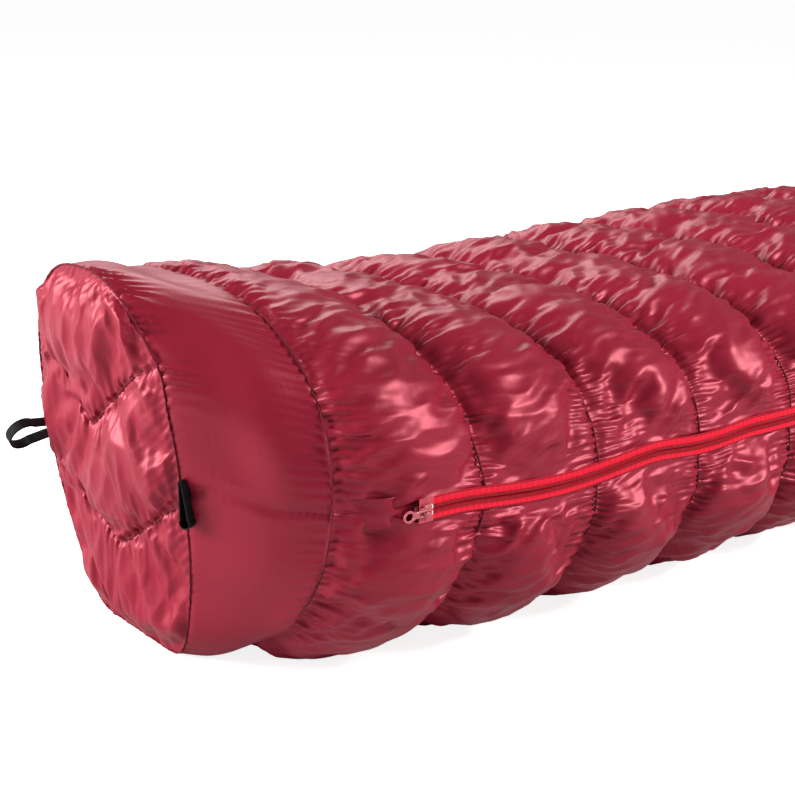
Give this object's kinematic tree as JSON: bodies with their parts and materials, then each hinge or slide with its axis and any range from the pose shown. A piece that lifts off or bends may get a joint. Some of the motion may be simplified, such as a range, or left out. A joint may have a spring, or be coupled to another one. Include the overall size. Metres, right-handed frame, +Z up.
{
  "type": "sleeping bag",
  "caption": "Quilted sleeping bag with a shaped foot box, elastic cross seams, a two-way side zip and an open straight mouth whose cover lifts.",
  "frame": {"origin": "middle of the underside of the bounding box, on the ground", "axes": "+X from the foot box to the mouth, +Z up, -Y the zip side"},
  "size_m": [2.026, 0.587, 0.3316],
  "materials": {
    "shell_nylon": "satin crimson nylon taffeta",
    "lining_nylon": "soft dark crimson nylon",
    "polyester_filling": "white hollow-fibre wadding",
    "zip_tape": "bright red woven polyester tape",
    "zip_coil": "red nylon coil",
    "end_stop_plastic": "white moulded plastic",
    "slider_paint": "zinc die casting with pinkish red paint",
    "seam_thread": "dark crimson elastic thread",
    "black_webbing": "black grosgrain webbing"
  },
  "bodies": {
    "bag": {"upper_foot_quilt_shell": "shell_nylon", "upper_foot_quilt_insulation": "polyester_filling", "upper_foot_quilt_lining": "lining_nylon", "lower_quilt_shell": "shell_nylon", "lower_quilt_insulation": "polyester_filling", "lower_quilt_lining": "lining_nylon", "elastic_seam_01": "seam_thread", "elastic_seam_02": "seam_thread", "elastic_seam_03": "seam_thread", "elastic_seam_04": "seam_thread", "elastic_seam_05": "seam_thread", "elastic_seam_06": "seam_thread", "elastic_seam_07": "seam_thread", "elastic_seam_08": "seam_thread", "lower_elastic_seam_09": "seam_thread", "lower_elastic_seam_10": "seam_thread", "lower_elastic_seam_11": "seam_thread", "lower_elastic_seam_12": "seam_thread", "lower_elastic_seam_13": "seam_thread", "lower_elastic_seam_14": "seam_thread", "lower_elastic_seam_15": "seam_thread", "lower_mouth_binding": "lining_nylon", "foot_panel_shell": "shell_nylon", "foot_panel_insulation": "polyester_filling", "foot_panel_lining": "lining_nylon", "foot_panel_piping": "seam_thread", "foot_band_upper_shell": "shell_nylon", "foot_band_lower_shell": "shell_nylon", "foot_band_insulation": "polyester_filling", "foot_band_lining": "lining_nylon", "zip_garage": "shell_nylon", "upper_foot_zip_tape": "zip_tape", "upper_foot_zip_coil": "zip_coil", "lower_zip_tape": "zip_tape", "lower_zip_coil": "zip_coil", "upper_zip_end_stop": "end_stop_plastic", "lower_zip_end_stop": "end_stop_plastic", "foot_draught_tube": "lining_nylon"},
    "foot_slider": {"foot_slider_body": "slider_paint"},
    "foot_pull": {"foot_slider_pull": "slider_paint"},
    "head_slider": {"head_slider_body": "slider_paint"},
    "head_pull": {"head_slider_pull": "slider_paint"},
    "near_loop": {"near_hanging_loop": "black_webbing"},
    "far_loop": {"far_hanging_loop": "black_webbing"},
    "cover": {"cover_quilt_shell": "shell_nylon", "cover_quilt_insulation": "polyester_filling", "cover_quilt_lining": "lining_nylon", "cover_elastic_seam_09": "seam_thread", "cover_elastic_seam_10": "seam_thread", "cover_elastic_seam_11": "seam_thread", "cover_elastic_seam_12": "seam_thread", "cover_elastic_seam_13": "seam_thread", "cover_elastic_seam_14": "seam_thread", "cover_elastic_seam_15": "seam_thread", "cover_mouth_binding": "lining_nylon", "cover_zip_tape": "zip_tape", "cover_zip_coil": "zip_coil", "cover_draught_tube": "lining_nylon"}
  },
  "joints": [
    {"name": "head_slider_travel", "type": "slide", "parent": "bag", "child": "head_slider", "axis": [-0.9998, 0.0205, 0.004], "range_m": [0, 1.43]},
    {"name": "cover_opening", "type": "hinge", "parent": "bag", "child": "cover", "pos_m": [-0.01619, 0.27806, 0.1448], "axis": [-0.9996, -0.018, 0.0197], "range_deg": [0, 35]},
    {"name": "foot_slider_travel", "type": "slide", "parent": "bag", "child": "foot_slider", "axis": [0.9998, -0.0205, -0.004], "range_m": [0, 0.25]},
    {"name": "foot_pull_swing", "type": "hinge", "parent": "foot_slider", "child": "foot_pull", "pos_m": [-0.83633, -0.24851, 0.16075], "axis": [0.004, 0, 1], "range_deg": [0, 170]},
    {"name": "head_pull_swing", "type": "hinge", "parent": "head_slider", "child": "head_pull", "pos_m": [0.97127, -0.28556, 0.15352], "axis": [0.004, 0, 1], "range_deg": [0, 170]},
    {"name": "far_loop_swing", "type": "hinge", "parent": "bag", "child": "far_loop", "pos_m": [-0.975, 0.11016, 0.161], "axis": [0, 1, 0], "range_deg": [-60, 45], "stiffness_Nm_per_rad": 0.005},
    {"name": "near_loop_swing", "type": "hinge", "parent": "bag", "child": "near_loop", "pos_m": [-0.981, -0.10684, 0.164], "axis": [0, 1, 0], "range_deg": [0, 90], "stiffness_Nm_per_rad": 0.005}
  ],
  "couplings": [
    {"joint": "cover_opening", "follows": "head_slider_travel", "rad_per_m": 0.427}
  ]
}
